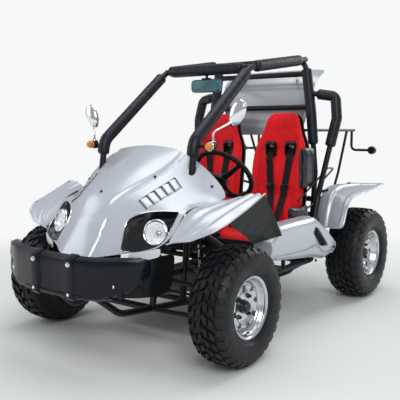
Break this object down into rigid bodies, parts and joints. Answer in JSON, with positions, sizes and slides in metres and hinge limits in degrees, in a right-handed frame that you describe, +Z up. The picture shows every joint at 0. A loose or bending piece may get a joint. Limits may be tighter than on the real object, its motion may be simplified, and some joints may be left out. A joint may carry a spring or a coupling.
{
  "type": "two seat off road go-kart buggy",
  "caption": "Open two seat off road kart with a padded tube cage, silver nose and fenders, bucket seats, coil sprung wheels and a rear rack.",
  "frame": {"origin": "middle of the footprint, on the ground", "axes": "+Z up, +Y to the rear, the nose towards -Y, +X to the left side of the driver"},
  "size_m": [1.3562, 2.322, 1.4634],
  "materials": {
    "silver_plastic": "moulded plastic panel with silver paint",
    "black_tube": "black powder coated steel tube, padded where hands and heads can meet it",
    "black_plastic": "black moulded plastic",
    "red_fabric": "red woven seat cover with black trim",
    "tyre_rubber": "black rubber with tread blocks",
    "polished_steel": "polished pressed steel",
    "dark_steel": "dark machined and painted steel",
    "chrome": "chrome plate with clear glass",
    "amber_plastic": "amber lamp lens with a black base",
    "teal_plastic": "glossy teal moulding",
    "cast_alloy": "cast light alloy"
  },
  "bodies": {
    "chassis": {"bumper": "black_plastic", "cage_hoop": "black_tube", "cage_rail_left": "black_tube", "cage_rail_right": "black_tube", "centre_mirror": "teal_plastic", "engine": "cast_alloy", "exhaust": "polished_steel", "fender_liner_left": "black_plastic", "fender_liner_right": "black_plastic", "floor_pan": "black_plastic", "frame": "black_tube", "front_arm_lower_left": "black_tube", "front_arm_lower_right": "black_tube", "front_arm_upper_left": "black_tube", "front_arm_upper_right": "black_tube", "front_fender_left": "silver_plastic", "front_fender_right": "silver_plastic", "headlight_bezel_left": "black_plastic", "headlight_bezel_right": "black_plastic", "headlight_left": "chrome", "headlight_right": "chrome", "hood": "silver_plastic", "luggage_rack": "black_tube", "mirror_left": "chrome", "mirror_right": "chrome", "nose_apron": "black_plastic", "rack_housing": "dark_steel", "rear_fender_left": "silver_plastic", "rear_fender_right": "silver_plastic", "rear_panel": "silver_plastic", "roof_bar": "black_tube", "seat_left": "red_fabric", "seat_right": "red_fabric", "shock_front_left": "dark_steel", "shock_front_right": "dark_steel", "shock_rear_left": "dark_steel", "shock_rear_right": "dark_steel", "side_guard_left": "black_tube", "side_guard_right": "black_tube", "side_pod_left": "silver_plastic", "side_pod_right": "silver_plastic", "swing_arm": "black_tube", "turn_signal_left": "amber_plastic", "turn_signal_right": "amber_plastic"},
    "steering": {"steering_wheel": "black_plastic"},
    "rack": {"steering_rack": "dark_steel"},
    "knuckle_left": {"knuckle_left": "dark_steel"},
    "knuckle_right": {"knuckle_right": "dark_steel"},
    "wheel_front_left": {"rim_front_left": "polished_steel", "tyre_front_left": "tyre_rubber", "hub_front_left": "dark_steel"},
    "wheel_front_right": {"rim_front_right": "polished_steel", "tyre_front_right": "tyre_rubber", "hub_front_right": "dark_steel"},
    "rear_axle": {"rear_axle": "dark_steel", "rim_rear_left": "polished_steel", "rim_rear_right": "polished_steel", "tyre_rear_left": "tyre_rubber", "tyre_rear_right": "tyre_rubber"}
  },
  "joints": [
    {"name": "steering_turn", "type": "hinge", "parent": "chassis", "child": "steering", "pos_m": [0.22, -0.1858, 0.80008], "axis": [0, 0.766, 0.6428], "range_deg": [-120, 120]},
    {"name": "rack_slide", "type": "slide", "parent": "chassis", "child": "rack", "axis": [1, 0, 0], "range_m": [-0.0362, 0.0362]},
    {"name": "knuckle_left_turn", "type": "hinge", "parent": "chassis", "child": "knuckle_left", "pos_m": [0.455, -0.6165, 0.2665], "axis": [0, 0, 1], "range_deg": [-25.1, 25.1]},
    {"name": "knuckle_right_turn", "type": "hinge", "parent": "chassis", "child": "knuckle_right", "pos_m": [-0.455, -0.6165, 0.2665], "axis": [0, 0, 1], "range_deg": [-25.1, 25.1]},
    {"name": "wheel_front_left_roll", "type": "hinge", "parent": "knuckle_left", "child": "wheel_front_left", "pos_m": [0.585, -0.6165, 0.2665], "axis": [1, 0, 0], "continuous": true},
    {"name": "wheel_front_right_roll", "type": "hinge", "parent": "knuckle_right", "child": "wheel_front_right", "pos_m": [-0.585, -0.6165, 0.2665], "axis": [1, 0, 0], "continuous": true},
    {"name": "rear_axle_roll", "type": "hinge", "parent": "chassis", "child": "rear_axle", "pos_m": [0, 0.8435, 0.2745], "axis": [1, 0, 0], "continuous": true}
  ],
  "couplings": [
    {"joint": "rack_slide", "follows": "steering_turn", "m_per_rad": -0.017152},
    {"joint": "knuckle_left_turn", "follows": "steering_turn", "ratio": 0.20833},
    {"joint": "knuckle_right_turn", "follows": "steering_turn", "ratio": 0.20833}
  ]
}
